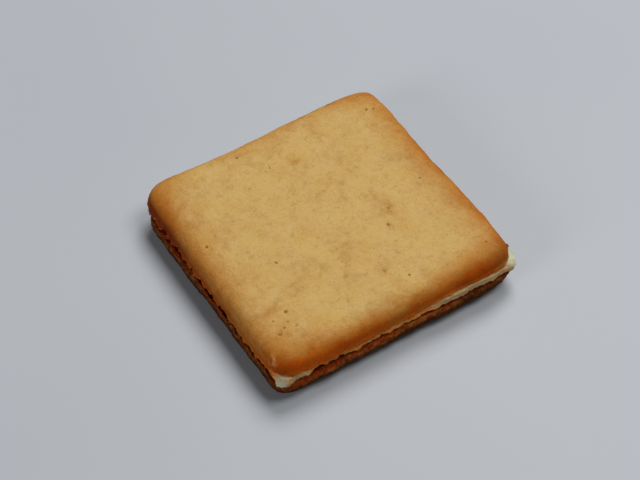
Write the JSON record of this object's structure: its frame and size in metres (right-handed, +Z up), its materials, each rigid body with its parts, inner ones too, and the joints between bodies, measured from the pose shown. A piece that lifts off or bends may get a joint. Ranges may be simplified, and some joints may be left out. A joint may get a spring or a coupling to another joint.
{
  "type": "maple butter cookie",
  "caption": "Square sandwich cookie: domed, brown-edged butter biscuits with a firm layer of pale maple butter cream between their flat faces. Food prop for a plate, box or tray.",
  "frame": {"origin": "the middle of the face that the cookie rests on, at the bottom centre of its bounding box", "axes": "+Z up through the biscuits; X and Y run along the sides; the corner at -X -Y is the one nearest the picture's camera, and the side at -Y is the one where the cream shows most"},
  "size_m": [0.0559, 0.0558, 0.01],
  "materials": {
    "biscuit": "matte baked biscuit, pale golden on the flat, amber to brown at the edges",
    "cream": "satin, firm butter cream"
  },
  "bodies": {
    "root": {"top_biscuit": "biscuit", "filling": "cream", "bottom_biscuit": "biscuit"}
  },
  "joints": []
}
